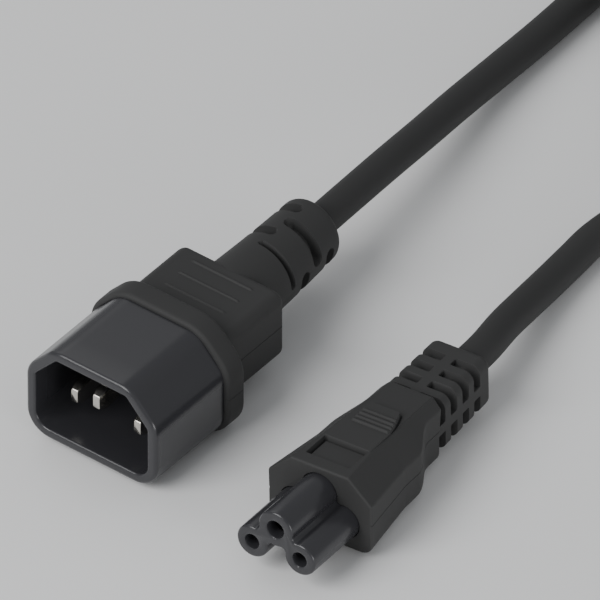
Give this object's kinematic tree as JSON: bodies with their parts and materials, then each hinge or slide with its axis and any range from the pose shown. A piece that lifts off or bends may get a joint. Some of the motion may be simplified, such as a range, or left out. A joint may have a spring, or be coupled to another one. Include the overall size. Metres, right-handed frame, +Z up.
{
  "type": "cloverleaf power cord",
  "caption": "Mains lead with a flat-pin inlet plug at one end and a cloverleaf connector at the other, its spare cord wound into a tied coil.",
  "frame": {"origin": "on the floor, under the middle of the plug's collar", "axes": "+Y from the plug's pins towards its cord, +X to the connector's side, +Z up"},
  "size_m": [0.1055, 0.2429, 0.0226],
  "materials": {
    "hard_plastic": "smooth black plastic, slightly glossy",
    "moulded_pvc": "fine matt black moulded PVC",
    "cord_jacket": "satin black PVC jacket",
    "contact_metal": "bright nickel plate",
    "tie": "black hook-and-loop tape"
  },
  "bodies": {
    "root": {"plug_shroud": "hard_plastic", "pin_line": "contact_metal", "pin_neutral": "contact_metal", "pin_earth": "contact_metal", "plug_body": "moulded_pvc", "connector_nose": "hard_plastic", "contact_line": "contact_metal", "contact_neutral": "contact_metal", "contact_earth": "contact_metal", "connector_body": "moulded_pvc", "cord_plug_side": "cord_jacket", "cord_coil": "cord_jacket", "cord_connector_side": "cord_jacket", "coil_tie_1": "tie", "coil_tie_2": "tie"}
  },
  "joints": []
}
